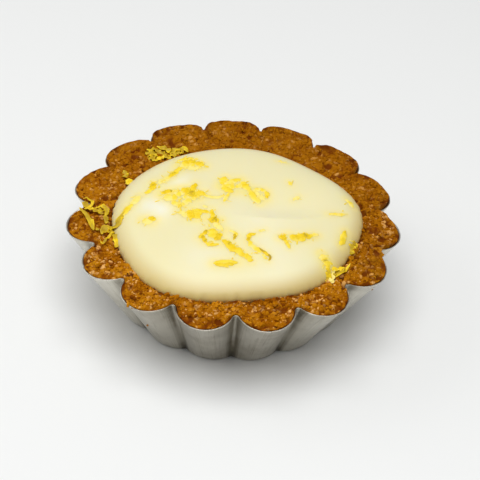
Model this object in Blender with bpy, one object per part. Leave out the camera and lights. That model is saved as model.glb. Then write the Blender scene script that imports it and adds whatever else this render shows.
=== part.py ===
"""Lemon tartlet in its fluted tin: a crumb crust pressed into a small tin, filled with lemon cream.

Three solids: the pressed tin, the crumb crust that lines it, and the domed cream that fills the
crust. Shreds of lemon zest lie half sunk on the cream and on the crust, and are joined to them.

Frame: metres, +Z up, origin at the centre of the tin's flat base, the served front towards -Y.
Run with: blender --background --python part.py
"""

from math import atan2, cos, exp, hypot, pi, radians, sin, sqrt
from typing import NamedTuple

import bmesh
import bpy
from mathutils import Vector, noise

MM = 0.001


class Fluting(NamedTuple):
    """A fluted outline of the tin's inner surface: round lobes joined by rounded inward ridges."""

    crest: float  # distance of a lobe's crown from the axis
    valley: float  # distance of a ridge's tip from the axis
    ridge: float  # radius of the ridge's own arc


class Shred(NamedTuple):
    """One shred of zest: where its middle lies, which way it runs, and how it bends."""

    x: float
    y: float
    heading: float
    length: float
    bend: float
    width: float


# Tin. Its rim is 76 mm across the lobes, and its lobes and ridges run down to the base.
FLUTES = 15
CREST_AZIMUTH = radians(-2.7)
TIN_HEIGHT = 20.0 * MM
SHEET = 0.4 * MM
RIM = Fluting(37.6 * MM, 32.7 * MM, 0.9 * MM)
BASE = Fluting(25.8 * MM, 24.4 * MM, 1.0 * MM)
BASE_CORNER = 0.6 * MM
# The rim stands this much lower at a lobe's crown than at a ridge's tip.
RIM_DIP = 0.75 * MM
LOBE_STEPS = 5
RIDGE_STEPS = 3

# The play that keeps touching pieces apart.
GAP = 0.3 * MM

# Crust.
CRUST_FLOOR = 4.4 * MM
CRUST_LIFT = 0.35 * MM
CRUST_SHOULDER = 0.7 * MM
CRUST_TOP_STEPS = (0, 0.25, 0.5, 0.75)
# The crust's top follows the rim's dips from this distance from the axis out to the lobes' crowns.
CRUST_FOLLOWS = 32.5 * MM
# Crags of two sizes: (size across, height).
CRAG_SIZES = ((3.1 * MM, 0.8 * MM), (1.7 * MM, 0.6 * MM))

# Cream. Its edge is a circle made uneven by a few waves: (waves round, height, azimuth of a crest).
CREAM_RADIUS = 27.4 * MM
CREAM_WAVES = (
    (1, 2.65 * MM, radians(-80)),
    (2, 0.8 * MM, radians(22)),
    (3, 0.55 * MM, radians(-3)),
    (4, 0.15 * MM, radians(-17)),
    (5, 0.45 * MM, radians(19)),
    (6, 0.3 * MM, radians(8)),
)
CREAM_FLOOR_SCALE = 0.72
DOME_FOOT = 0.2 * MM
DOME_HEIGHT = 5.0 * MM
DOME_FULLNESS = 3.0
DOME_STEPS = (0.985, 0.95, 0.89, 0.8, 0.68, 0.54, 0.38, 0.2)
CREAM_SEGMENTS = 72
# Soft swells and hollows left by the spoon: (x, y, spread, height).
SWELLS = (
    (-11.0 * MM, 6.0 * MM, 5.0 * MM, 0.5 * MM),
    (-16.5 * MM, -3.5 * MM, 5.0 * MM, 0.45 * MM),
    (13.0 * MM, 1.5 * MM, 7.0 * MM, -0.5 * MM),
    (10.0 * MM, -7.0 * MM, 5.0 * MM, 0.3 * MM),
)

# Zest. A shred stands this far out of what it lies on, and is sunk this far into it.
SHRED_POINTS = 7
SHRED_PROUD = 0.45 * MM
SHRED_SUNK = 0.55 * MM
# Its crown is this share of its width, and it narrows by this share towards its ends.
SHRED_CROWN = 0.7
SHRED_TAPER = 0.6
FINE, PLAIN, BROAD = 0.7, 1.0, 1.5

# Shreds in millimetres and degrees: x, y, heading, length, bend, width.
CREAM_SHREDS = (
    Shred(-10.7, 13.8, 12, 5.0, 50, BROAD),
    Shred(-15.5, 9.4, 228, 6.5, 20, PLAIN),
    Shred(-18.4, 4.0, 70, 3.6, -60, PLAIN),
    Shred(-14.6, 1.0, 8, 5.0, 70, BROAD),
    Shred(-10.2, 3.0, 55, 6.0, -60, PLAIN),
    Shred(-5.4, 2.2, -10, 4.5, 15, FINE),
    Shred(-2.2, 5.4, 70, 6.0, 80, PLAIN),
    Shred(4.0, 4.6, -38, 7.5, 40, PLAIN),
    Shred(7.2, 4.4, 120, 4.0, 120, FINE),
    Shred(-11.8, -3.1, -12, 4.6, -40, PLAIN),
    Shred(-7.6, -6.2, 25, 5.0, 110, BROAD),
    Shred(-3.9, -7.4, 85, 4.0, -30, PLAIN),
    Shred(-18.5, -8.2, -8, 3.2, 30, PLAIN),
    Shred(-6.4, -13.4, 60, 5.0, -100, PLAIN),
    Shred(-3.4, -12.2, 100, 4.2, 40, BROAD),
    Shred(1.3, -16.9, -38, 10.4, 14, BROAD),
    Shred(4.2, -11.9, -110, 4.6, 120, PLAIN),
    Shred(7.2, -16.2, -42, 5.0, -30, FINE),
    Shred(-1.2, -20.8, 3, 5.6, 8, BROAD),
    Shred(10.2, -11.3, 35, 3.0, 30, PLAIN),
    Shred(15.6, -9.7, 20, 6.8, -10, PLAIN),
    Shred(12.3, -13.4, -70, 2.6, 20, FINE),
    Shred(-15.4, -17.4, 0, 3.2, 20, FINE),
    Shred(22.8, 0.0, 30, 4.6, 10, FINE),
    Shred(23.4, -6.8, 68, 4.0, 15, PLAIN),
    Shred(-22.6, -4.0, -112, 5.4, 12, PLAIN),
    Shred(19.0, -14.6, -48, 3.4, 20, PLAIN),
    Shred(14.0, 3.0, 60, 3.2, 10, FINE),
    Shred(12.2, 9.4, 80, 2.4, 10, FINE),
)
CRUST_SHREDS = (
    Shred(-32.0, -5.6, -63, 6.4, 20, PLAIN),
    Shred(-30.4, 0.6, 80, 4.6, 110, PLAIN),
    Shred(-29.4, -9.8, 60, 3.4, -40, FINE),
    Shred(-26.0, 14.4, -62, 3.2, 20, FINE),
    Shred(-20.3, 21.0, 20, 4.6, -60, PLAIN),
    Shred(-15.6, 24.0, 30, 4.4, 40, PLAIN),
    Shred(23.4, -19.4, 52, 3.4, 30, PLAIN),
    Shred(25.9, -15.3, 66, 5.6, 12, FINE),
    Shred(28.6, -9.6, 76, 4.0, 20, FINE),
)


def mix(low, high, share):
    return low + (high - low) * share


def clear_scene():
    for item in list(bpy.data.objects):
        bpy.data.objects.remove(item)


def make_material(name, colour, roughness, metallic=0.0):
    material = bpy.data.materials.new(name)
    material.use_nodes = True
    shader = material.node_tree.nodes["Principled BSDF"]
    shader.inputs["Base Color"].default_value = (*colour, 1.0)
    shader.inputs["Roughness"].default_value = roughness
    shader.inputs["Metallic"].default_value = metallic
    return material


def half_flute(level, offset):
    """Points from a lobe's crown, on +X, to the tip of the ridge beside it.

    level runs from 0 at the base to 1 at the rim. offset moves the line outwards.
    """
    half = pi / FLUTES
    crest = mix(BASE.crest, RIM.crest, level)
    ridge = mix(BASE.ridge, RIM.ridge, level)
    ridge_centre = mix(BASE.valley, RIM.valley, level) + ridge
    ridge_x, ridge_y = ridge_centre * cos(half), ridge_centre * sin(half)
    # The lobe's arc touches the ridge's arc, which fixes the lobe's radius.
    lobe = (ridge_centre**2 - 2 * ridge_x * crest + crest**2 - ridge**2) / (2 * (crest + ridge - ridge_x))
    centre = crest - lobe
    turn = atan2(ridge_y, ridge_x - centre)

    points = []
    for step in range(LOBE_STEPS + 1):
        angle = turn * step / LOBE_STEPS
        points.append((centre + (lobe + offset) * cos(angle), (lobe + offset) * sin(angle)))
    for step in range(1, RIDGE_STEPS + 1):
        angle = pi + mix(turn, half, step / RIDGE_STEPS)
        points.append((ridge_x + (ridge - offset) * cos(angle), ridge_y + (ridge - offset) * sin(angle)))
    return points


def fluted_outline(level, offset):
    """The whole outline, anticlockwise, as radius and azimuth."""
    half = [(hypot(x, y), atan2(y, x)) for x, y in half_flute(level, offset)]
    outline = []
    for flute in range(FLUTES):
        crown = CREST_AZIMUTH + flute * 2 * pi / FLUTES
        next_crown = crown + 2 * pi / FLUTES
        outline += [(radius, crown + azimuth) for radius, azimuth in half]
        outline += [(radius, next_crown - azimuth) for radius, azimuth in reversed(half[1:-1])]
    return outline


def rim_dip(azimuth):
    """How far the rim lies below the ridges' tips, in a direction from the axis."""
    return RIM_DIP * abs(cos(FLUTES * (azimuth - CREST_AZIMUTH) / 2))


def fluted_ring(height, offset):
    """A ring round the wall. It dips at the lobes, by nothing at the base and fully at the rim."""
    level = height / TIN_HEIGHT
    outline = fluted_outline(level, offset)
    return [Vector((r * cos(a), r * sin(a), height - rim_dip(a) * level**2)) for r, a in outline]


def cream_edge(azimuth):
    waves = sum(height * cos(count * (azimuth - crest)) for count, height, crest in CREAM_WAVES)
    return CREAM_RADIUS + waves


def crag(x, y):
    """Height of the crust's broken surface over its even level."""
    return sum(depth * noise.noise(Vector((x, y, 0)) / size) for size, depth in CRAG_SIZES)


def crust_top(x, y):
    """Height of the crust's crumbly top, which dips with the rim beside it."""
    beside = (hypot(x, y) - CRUST_FOLLOWS) / (RIM.crest - CRUST_FOLLOWS)
    dip = rim_dip(atan2(y, x)) * min(max(beside, 0), 1)
    return TIN_HEIGHT + CRUST_LIFT + crag(x, y) - dip


def cream_top(x, y):
    """Height of the cream's domed surface."""
    share = min(hypot(x, y) / cream_edge(atan2(y, x)), 1.0)
    dome = DOME_HEIGHT * sqrt(1 - share**DOME_FULLNESS)
    swell = sum(h * exp(-((x - cx) ** 2 + (y - cy) ** 2) / spread**2) for cx, cy, spread, h in SWELLS)
    return TIN_HEIGHT + DOME_FOOT + dome + swell * (1 - share**2)


def lofted(name, rings, material, smooth_angle):
    """A closed solid through rings of equal count, from the underside's rim to the top's.

    Each end is closed by a fan round its middle.
    """
    mesh = bpy.data.meshes.new(name)
    form = bmesh.new()
    loops = [[form.verts.new(point) for point in ring] for ring in rings]
    count = len(rings[0])
    for lower, upper in zip(loops, loops[1:]):
        for i in range(count):
            j = (i + 1) % count
            form.faces.new((lower[i], lower[j], upper[j], upper[i]))
    for ring, loop, facing_up in ((rings[0], loops[0], False), (rings[-1], loops[-1], True)):
        middle = form.verts.new(Vector((0, 0, sum(point.z for point in ring) / count)))
        for i in range(count):
            j = (i + 1) % count
            edge = (loop[i], loop[j]) if facing_up else (loop[j], loop[i])
            form.faces.new((middle, *edge))
    bmesh.ops.triangulate(form, faces=form.faces)
    form.to_mesh(mesh)
    form.free()
    mesh.shade_smooth()
    mesh.set_sharp_from_angle(angle=smooth_angle)
    mesh.materials.append(material)
    solid = bpy.data.objects.new(name, mesh)
    bpy.context.scene.collection.objects.link(solid)
    return solid


def make_tin(material):
    wall_heights = (BASE_CORNER, TIN_HEIGHT / 2, TIN_HEIGHT)
    outside = [fluted_ring(0, SHEET - BASE_CORNER)]
    outside += [fluted_ring(height, SHEET) for height in wall_heights]
    inside = [fluted_ring(height, 0) for height in reversed(wall_heights[1:])]
    inside.append(fluted_ring(SHEET, 0))
    return lofted("tin", outside + inside, material, radians(35))


def crust_top_ring(share):
    """A ring of the crumbly top: share 0 is where its shoulder ends, 1 at the cream."""
    ring = []
    for radius, azimuth in fluted_outline(1, -CRUST_SHOULDER):
        r = mix(radius, cream_edge(azimuth) + GAP, share)
        x, y = r * cos(azimuth), r * sin(azimuth)
        ring.append(Vector((x, y, crust_top(x, y))))
    return ring


def hollow_ring(height, scale):
    """A ring of the hollow that the cream fills, in step with the crust's own outline."""
    ring = []
    for _, azimuth in fluted_outline(1, -GAP):
        r = cream_edge(azimuth) * scale + GAP
        ring.append(Vector((r * cos(azimuth), r * sin(azimuth), height)))
    return ring


def make_crust(material):
    rings = [fluted_ring(SHEET + GAP, -GAP)]
    rings += [fluted_ring(height, -GAP) for height in (TIN_HEIGHT / 2, TIN_HEIGHT - CRUST_SHOULDER)]
    rings += [crust_top_ring(share) for share in CRUST_TOP_STEPS]
    rings.append(hollow_ring(TIN_HEIGHT, 1))
    rings.append(hollow_ring(CRUST_FLOOR, CREAM_FLOOR_SCALE))
    return lofted("crust", rings, material, radians(40))


def cream_ring(height_at, share):
    ring = []
    for step in range(CREAM_SEGMENTS):
        azimuth = 2 * pi * step / CREAM_SEGMENTS
        r = cream_edge(azimuth) * share
        x, y = r * cos(azimuth), r * sin(azimuth)
        ring.append(Vector((x, y, height_at(x, y))))
    return ring


def make_cream(material):
    rings = [cream_ring(lambda x, y: CRUST_FLOOR + GAP, CREAM_FLOOR_SCALE)]
    rings.append(cream_ring(lambda x, y: TIN_HEIGHT + DOME_FOOT, 1))
    rings += [cream_ring(cream_top, share) for share in DOME_STEPS]
    return lofted("filling", rings, material, radians(50))


def shred_sections(shred, surface):
    """Four-cornered sections along the shred, on the arc that its bend makes of it."""
    heading, bend = radians(shred.heading), radians(shred.bend)
    length, half_width = shred.length * MM, shred.width * MM / 2
    curve = bend / length
    sections = []
    for step in range(SHRED_POINTS):
        share = step / (SHRED_POINTS - 1) - 0.5
        run = share * length
        way = heading + curve * run
        x = shred.x * MM + (sin(way) - sin(heading)) / curve if bend else shred.x * MM + run * cos(heading)
        y = shred.y * MM - (cos(way) - cos(heading)) / curve if bend else shred.y * MM + run * sin(heading)
        level = surface(x, y)
        taper = 1 - SHRED_TAPER * (2 * abs(share)) ** 3
        side = Vector((-sin(way), cos(way), 0)) * half_width * taper
        middle = Vector((x, y, level))
        root = Vector((0, 0, -SHRED_SUNK))
        crown = Vector((0, 0, SHRED_PROUD * taper))
        corners = (middle + side + root, middle - side + root)
        top = side * SHRED_CROWN
        sections.append((*corners, middle - top + crown, middle + top + crown))
    return sections


def make_shred(name, shred, surface):
    sections = shred_sections(shred, surface)
    mesh = bpy.data.meshes.new(name)
    form = bmesh.new()
    loops = [[form.verts.new(corner) for corner in section] for section in sections]
    for near, far in zip(loops, loops[1:]):
        for i in range(4):
            j = (i + 1) % 4
            form.faces.new((near[i], near[j], far[j], far[i]))
    form.faces.new(loops[0][::-1])
    form.faces.new(loops[-1])
    bmesh.ops.recalc_face_normals(form, faces=form.faces)
    bmesh.ops.triangulate(form, faces=form.faces)
    form.to_mesh(mesh)
    form.free()
    return bpy.data.objects.new(name, mesh)


def join_zest(body, shreds, surface):
    """Joins the shreds to the body they lie on, with one union."""
    heap = bpy.data.collections.new(body.name + "_zest")
    bpy.context.scene.collection.children.link(heap)
    for number, shred in enumerate(shreds):
        heap.objects.link(make_shred(f"{body.name}_shred_{number}", shred, surface))
    union = body.modifiers.new("zest", "BOOLEAN")
    union.operation = "UNION"
    union.operand_type = "COLLECTION"
    union.collection = heap
    union.solver = "EXACT"
    joined = body.evaluated_get(bpy.context.evaluated_depsgraph_get())
    body.data = bpy.data.meshes.new_from_object(joined)
    body.modifiers.clear()
    for shred in list(heap.objects):
        bpy.data.objects.remove(shred)
    bpy.data.collections.remove(heap)


def main():
    clear_scene()
    make_tin(make_material("tinplate", (0.46, 0.45, 0.42), 0.38, 1.0))
    crust = make_crust(make_material("baked_crumb", (0.36, 0.145, 0.022), 0.85))
    cream = make_cream(make_material("lemon_cream", (0.87, 0.78, 0.47), 0.45))
    join_zest(crust, CRUST_SHREDS, crust_top)
    join_zest(cream, CREAM_SHREDS, cream_top)


main()
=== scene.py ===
"""Dresses a lemon tartlet: its fluted tin, crumb crust, lemon cream, zest and loose crumbs.

Laid out as a Blender add-on and run as a script. Every piece is built round the fixed frame, in
metres, +Z up, with the served front towards -Y.
"""

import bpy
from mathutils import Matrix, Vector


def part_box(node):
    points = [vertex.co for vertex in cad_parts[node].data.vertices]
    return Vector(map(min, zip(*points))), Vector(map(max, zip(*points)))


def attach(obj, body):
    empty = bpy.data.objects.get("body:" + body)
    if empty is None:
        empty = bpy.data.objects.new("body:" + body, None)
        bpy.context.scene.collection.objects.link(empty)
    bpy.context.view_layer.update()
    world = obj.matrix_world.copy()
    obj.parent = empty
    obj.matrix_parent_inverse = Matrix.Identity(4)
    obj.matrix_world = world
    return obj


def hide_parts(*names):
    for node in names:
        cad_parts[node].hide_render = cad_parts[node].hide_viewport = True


bl_info = {
    "name": "Lemon Tartlet",
    "version": (1, 0, 0),
    "blender": (4, 5, 0),
    "location": "3D View > Sidebar > Tartlet",
    "description": "Builds a lemon tartlet in its fluted tin, piece by piece",
    "category": "Add Mesh",
}

from math import cos, pi, radians, sin
from typing import NamedTuple

import bmesh
import bpy
import numpy as np
from bpy.props import FloatProperty, FloatVectorProperty, IntProperty, PointerProperty
from mathutils import Matrix, Vector, noise

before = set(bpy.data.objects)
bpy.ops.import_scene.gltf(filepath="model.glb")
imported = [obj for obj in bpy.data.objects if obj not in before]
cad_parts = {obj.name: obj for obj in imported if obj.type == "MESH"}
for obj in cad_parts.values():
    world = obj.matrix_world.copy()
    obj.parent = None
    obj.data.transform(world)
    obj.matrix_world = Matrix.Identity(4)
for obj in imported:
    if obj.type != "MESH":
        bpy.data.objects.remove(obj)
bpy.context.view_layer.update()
TIN_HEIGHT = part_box("tin")[1].z
CREAM_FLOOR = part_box("filling")[0].z
CRUST_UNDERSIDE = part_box("crust")[0].z

MM, DEGREE = 0.001, radians(1)
BODY = "root"


def srgb(*levels):
    """A colour as it looks on screen, from 0 to 255, in the linear light that shaders use."""
    shares = [level / 255 for level in levels]
    return tuple(c / 12.92 if c <= 0.04045 else ((c + 0.055) / 1.055) ** 2.4 for c in shares)


def number_prop(description, default, **kind):
    return FloatProperty(description=description, default=default, **kind)


def size_prop(description, default):
    return number_prop(description, default, unit="LENGTH", precision=5)


def angle_prop(description, default):
    return number_prop(description, default, unit="ROTATION")


def count_prop(description, default):
    return IntProperty(description=description, default=default, min=1)


def colour_prop(description, default):
    return FloatVectorProperty(description=description, default=default, subtype="COLOR", min=0, max=1)


# ---------------- settings


class TinSettings(bpy.types.PropertyGroup):
    """The pressed tin: fifteen round lobes joined by narrow inward ridges."""

    flutes: count_prop("Lobes round the tin", 15)
    crest_azimuth: angle_prop("Direction of the first lobe's crown", radians(-2.7))
    rim_crest: size_prop("Inner radius at a lobe's crown, at the rim", 37.6 * MM)
    rim_valley: size_prop("Inner radius at a ridge's tip, at the rim", 32.7 * MM)
    rim_ridge: size_prop("Radius of a ridge's own arc, at the rim", 0.9 * MM)
    rim_dip: size_prop("How much lower the rim stands at a lobe's crown", 0.75 * MM)
    base_crest: size_prop("Inner radius at a lobe's crown, at the base", 25.8 * MM)
    base_valley: size_prop("Inner radius at a ridge's tip, at the base", 24.4 * MM)
    base_ridge: size_prop("Radius of a ridge's own arc, at the base", 1.0 * MM)
    sheet: size_prop("Thickness of the sheet metal", 0.3 * MM)
    hem_height: size_prop("Height of the pressed band under the rim", 1.5 * MM)
    hem_step: size_prop("How far the pressed band stands out", 0.08 * MM)
    corner: size_prop("Radius of the corner round the base", 0.8 * MM)
    crease_depth: size_prop("Depth of the stamping creases", 0.15 * MM)
    metal: colour_prop("Colour of the clean tinplate", srgb(218, 214, 202))
    # The film's colour: real tarnish, and painted shade where the film is laid on the served side and in the
    # grooves.
    tarnish: colour_prop("Colour of the baked film on the metal", srgb(128, 118, 98))
    # Painted shade in the grooves and at the ridges' feet.
    grime: colour_prop("Colour of the grime in the grooves", srgb(66, 60, 44))
    roughness: number_prop("Roughness of the clean tinplate", 0.24, subtype="FACTOR", min=0, max=1)


class CrustSettings(bpy.types.PropertyGroup):
    """The crumb crust pressed into the tin."""

    lift: size_prop("Height of the crust over the rim", 0.35 * MM)
    pile: size_prop("How high the crust piles up behind the ridges", 1.7 * MM)
    mass: size_prop("Size across of the soft unevenness", 4.5 * MM)
    mass_height: size_prop("Height of the soft unevenness", 0.45 * MM)
    lump: size_prop("Spacing of the large lumps", 2.7 * MM)
    lump_height: size_prop("Height of the large lumps", 0.5 * MM)
    grain: size_prop("Spacing of the crumbs", 1.35 * MM)
    grain_height: size_prop("Height of the crumbs", 0.42 * MM)
    grit: size_prop("Spacing of the finest grains", 0.75 * MM)
    grit_height: size_prop("Height of the finest grains", 0.2 * MM)
    pit: size_prop("Spacing of the pits between crumbs", 2.0 * MM)
    pit_depth: size_prop("Depth of the pits between crumbs", 0.75 * MM)
    shoulder: size_prop("How far the crust falls away beside the tin", 0.9 * MM)
    # Also the colour of the painted shade in the crevices.
    dark: colour_prop("Colour of crevices and toasted crumbs", srgb(98, 40, 2))
    brown: colour_prop("Colour of most crumbs", srgb(172, 106, 3))
    # Colour where the crust is darkest, towards the back and the right.
    darkened: colour_prop("Colour of the crust where it baked darkest", srgb(152, 94, 4))
    toasted: colour_prop("Colour of darker patches", srgb(138, 72, 2))
    golden: colour_prop("Colour of golden crumbs", srgb(203, 137, 20))
    # Pale crumbs, partly painted glints on the grains.
    pale: colour_prop("Colour of the palest crumbs", srgb(231, 176, 102))
    coarse: count_prop("Separate large crumbs on the crust", 1900)
    fine: count_prop("Separate small crumbs on the crust", 6500)


class CreamSettings(bpy.types.PropertyGroup):
    """The domed lemon cream."""

    radius: size_prop("Mean radius of the cream's edge", 27.4 * MM)
    dome: size_prop("Height of the dome", 5.0 * MM)
    fullness: number_prop("How flat the dome's top is", 3.3)
    foot: size_prop("Height of the dome's foot over the rim", 0.2 * MM)
    colour: colour_prop("Colour of the cream", srgb(233, 225, 179))
    # Partly staining by the peel and partly painted glow of light through it.
    stained: colour_prop("Colour of the cream beside shreds of zest", srgb(248, 226, 116))
    # Also the colour of the painted highlight and sheen.
    pale: colour_prop("Colour of the palest cream", srgb(240, 238, 219))
    # Painted shade and warm bounce light from the crust, laid on the cream's foot.
    edge: colour_prop("Colour of the cream's edge against the crust", srgb(208, 184, 114))


class ZestSettings(bpy.types.PropertyGroup):
    """Shreds of lemon peel."""

    thickness: size_prop("Height of a shred over what it lies on", 0.28 * MM)
    # Painted shade on the peel that lies on the crust.
    old: colour_prop("Colour of the oldest peel, on the crust", srgb(172, 138, 14))
    # Painted shade on the peel.
    olive: colour_prop("Colour of dark peel", srgb(196, 164, 26))
    deep: colour_prop("Colour of thick peel", srgb(238, 202, 8))
    yellow: colour_prop("Colour of most of the peel", srgb(250, 218, 58))
    faint: colour_prop("Colour of peel that the cream half covers", srgb(250, 230, 132))


class StageSettings(bpy.types.PropertyGroup):
    """Camera, floor and light."""

    lens: number_prop("Focal length in millimetres", 150)
    pitch: angle_prop("How far the camera looks down", radians(39.53))
    roll: angle_prop("How far the camera leans", radians(3.71))
    distance: size_prop("From the camera to the point that it looks at", 446.7 * MM)
    aim: FloatVectorProperty(description="Point it looks at", default=(1.7 * MM, -7.6 * MM, TIN_HEIGHT))
    floor: colour_prop("Colour of the floor", srgb(236, 237, 236))
    sky: number_prop("Strength of the light from all round", 0.33)
    key: number_prop("Power of the overhead light, in watts", 2.8)
    window: number_prop("Power of the light from the left, in watts", 0.5)


class TartletSettings(bpy.types.PropertyGroup):
    """Everything that shapes the tartlet."""

    tin: PointerProperty(type=TinSettings)
    crust: PointerProperty(type=CrustSettings)
    cream: PointerProperty(type=CreamSettings)
    zest: PointerProperty(type=ZestSettings)
    stage: PointerProperty(type=StageSettings)


# ---------------- shader sums


def sum_of(operation, turned=False):
    """A sum of a value and something else, or of something else and the value."""

    def method(self, other):
        return self.finish.maths(operation, *((other, self) if turned else (self, other)))

    return method


class Value:
    """A node's output that can be used in sums."""

    def __init__(self, finish, socket):
        self.finish = finish
        self.socket = socket

    def __abs__(self):
        return self.finish.maths("ABSOLUTE", self)

    __add__, __radd__ = sum_of("ADD"), sum_of("ADD", True)
    __sub__, __rsub__ = sum_of("SUBTRACT"), sum_of("SUBTRACT", True)
    __mul__, __rmul__ = sum_of("MULTIPLY"), sum_of("MULTIPLY", True)
    __pow__ = sum_of("POWER")


class Finish:
    """A material that is built up from nodes."""

    def __init__(self, name):
        self.material = bpy.data.materials.new(name)
        self.material.use_nodes = True
        self.tree = self.material.node_tree
        self.shader = self.tree.nodes["Principled BSDF"]

    def feed(self, socket, value):
        if isinstance(value, Value):
            self.tree.links.new(value.socket, socket)
        elif isinstance(value, (int, float)):
            socket.default_value = value
        else:
            # A colour's socket has a fourth number, and a vector's hasn't.
            socket.default_value = (*value, 1)[: len(socket.default_value)]

    def node(self, kind, sockets, output=0, **settings):
        made = self.tree.nodes.new(kind)
        for name, setting in settings.items():
            setattr(made, name, setting)
        for name, value in sockets.items():
            self.feed(made.inputs[name], value)
        return Value(self, made.outputs[output])

    def set(self, **sockets):
        """Sets or links the shader's own sockets; an underscore stands for a space."""
        for name, value in sockets.items():
            self.feed(self.shader.inputs[name.replace("_", " ")], value)

    def maths(self, operation, *numbers):
        return self.node("ShaderNodeMath", dict(enumerate(numbers)), operation=operation)

    def place(self):
        return self.node("ShaderNodeTexCoord", {}, "Object")

    def axes(self, place):
        """The three numbers of a place."""
        apart = self.node("ShaderNodeSeparateXYZ", {0: place})
        return [Value(self, output) for output in apart.socket.node.outputs]

    def vector(self, *numbers):
        return self.node("ShaderNodeCombineXYZ", dict(enumerate(numbers)))

    def distance(self, place, point):
        return self.node("ShaderNodeVectorMath", {0: place, 1: point}, "Value", operation="DISTANCE")

    def attribute(self, name):
        return self.node("ShaderNodeAttribute", {}, "Fac", attribute_name=name)

    def mix(self, share, first, second):
        return self.node("ShaderNodeMix", {0: share, 6: first, 7: second}, 2, data_type="RGBA")

    def fit(self, value, low, high, to_low=0.0, to_high=1.0):
        """Moves a value from one range to another, smoothly, and keeps it there."""
        sockets = {"Value": value, 1: low, 2: high, 3: to_low, 4: to_high}
        return self.node("ShaderNodeMapRange", sockets, interpolation_type="SMOOTHSTEP")

    def noise(self, place, scale, detail=2.0, roughness=0.5):
        sockets = {"Vector": place, "Scale": scale, "Detail": detail, "Roughness": roughness}
        return self.node("ShaderNodeTexNoise", sockets)

    def bump(self, height, distance, strength):
        return self.node("ShaderNodeBump", {"Height": height, "Distance": distance, "Strength": strength})


# ---------------- shared shapes


def mix(low, high, share):
    return low + (high - low) * share


def in_units(units, *rows):
    """Rows of numbers, each number times its column's unit."""
    return [tuple(number * unit for number, unit in zip(row, units)) for row in rows]


def smooth_step(value, low, high):
    share = np.clip((value - low) / (high - low), 0, 1)
    return share * share * (3 - 2 * share)


def softened(line):
    """The same numbers, each drawn towards its neighbours."""
    return np.convolve(np.pad(line, 1, mode="edge"), (0.3, 0.4, 0.3), mode="valid")


def soft_spots(spots, x, y):
    """Sum of soft round spots: each has a place, a reach and a height."""
    return sum(high * np.exp(-((x - cx) ** 2 + (y - cy) ** 2) / reach**2) for cx, cy, reach, high in spots)


def flute_outline(tin, level, offset, steps):
    """Radius and azimuth of the points of a fluted outline, anticlockwise.

    level runs from 0 at the base to 1 at the rim. offset moves the line outwards. steps are the points on
    half a lobe and on half a ridge.
    """
    lobe_steps, ridge_steps = steps
    half_turn = pi / tin.flutes
    crest = mix(tin.base_crest, tin.rim_crest, level)
    ridge = mix(tin.base_ridge, tin.rim_ridge, level)
    ridge_centre = mix(tin.base_valley, tin.rim_valley, level) + ridge
    ridge_x, ridge_y = ridge_centre * cos(half_turn), ridge_centre * sin(half_turn)
    # The lobe's arc touches the ridge's arc, which fixes the lobe's radius.
    lobe = (ridge_centre**2 - 2 * ridge_x * crest + crest**2 - ridge**2) / (2 * (crest + ridge - ridge_x))
    centre = crest - lobe
    turn = np.arctan2(ridge_y, ridge_x - centre)

    lobe_angles = turn * np.linspace(0, 1, lobe_steps + 1)
    ridge_angles = pi + mix(turn, half_turn, np.linspace(0, 1, ridge_steps + 1)[1:])
    lobe, ridge = lobe + offset, ridge - offset
    x = np.concatenate([centre + lobe * np.cos(lobe_angles), ridge_x + ridge * np.cos(ridge_angles)])
    y = np.concatenate([lobe * np.sin(lobe_angles), ridge_y + ridge * np.sin(ridge_angles)])
    radius, azimuth = np.hypot(x, y), np.arctan2(y, x)

    crowns = tin.crest_azimuth + np.arange(tin.flutes) * 2 * half_turn
    radii = np.tile(np.concatenate([radius, radius[-2:0:-1]]), tin.flutes)
    azimuths = crowns[:, None] + np.concatenate([azimuth, 2 * half_turn - azimuth[-2:0:-1]])
    return radii, azimuths.ravel()


def round_row(radius, azimuth, height):
    """A closed row of points."""
    height = np.broadcast_to(height, np.shape(radius))
    return np.stack([radius * np.cos(azimuth), radius * np.sin(azimuth), height], axis=-1)


def tube_faces(start, rows, count):
    """Faces between closed rows of points that follow one another."""
    first = np.arange(count)
    low, after = start + np.arange(rows - 1)[:, None] * count, (first + 1) % count
    corners = [first + low, after + low, after + low + count, first + low + count]
    return np.stack(corners, axis=2).reshape(-1, 4).tolist()


def lofted(name, rows, material):
    """A closed mesh through rows of equal count, from the underside to the top, with a fan at each end."""
    rows = np.array(rows)
    levels, count, _ = rows.shape
    middles = [[0, 0, rows[0, :, 2].mean()], [0, 0, rows[-1, :, 2].mean()]]
    points = np.concatenate([rows.reshape(-1, 3), middles])
    faces = tube_faces(0, levels, count)
    first, last = np.arange(count), (levels - 1) * count
    after = (first + 1) % count
    faces += np.stack([np.full(count, levels * count), after, first], axis=1).tolist()
    faces += np.stack([np.full(count, levels * count + 1), first + last, after + last], axis=1).tolist()
    return mesh_object(name, points, faces, material)


def mesh_object(name, points, faces, material, attributes=()):
    mesh = bpy.data.meshes.new(name)
    mesh.from_pydata(np.asarray(points).tolist(), [], faces)
    mesh.shade_smooth()
    mesh.materials.append(material)
    for label, values in dict(attributes).items():
        store(mesh, label, values)
    piece = bpy.data.objects.new(name, mesh)
    bpy.context.scene.collection.objects.link(piece)
    return piece


def store(mesh, label, values):
    """Keeps one number for each vertex, for the material to read."""
    mesh.attributes.new(label, "FLOAT", "POINT").data.foreach_set("value", np.asarray(values, np.float32))


def settle(piece, slot, *nodes):
    """Makes the piece part of the tartlet, standing for the solids it replaces."""
    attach(piece, BODY)
    if nodes:
        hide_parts(*nodes)


# ---------------- tin

TIN_STEPS = (20, 10)
# Soft dents: radius in the noise of one round of the tin, the wall's height for one unit, and their depth.
DENT_ROUND, DENT_RISE, DENT_DEPTH = 4.5, 18 * MM, 0.16 * MM
# How far above and below its middle the step of the pressed band runs out.
HEM_EASE = 0.2 * MM


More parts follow.
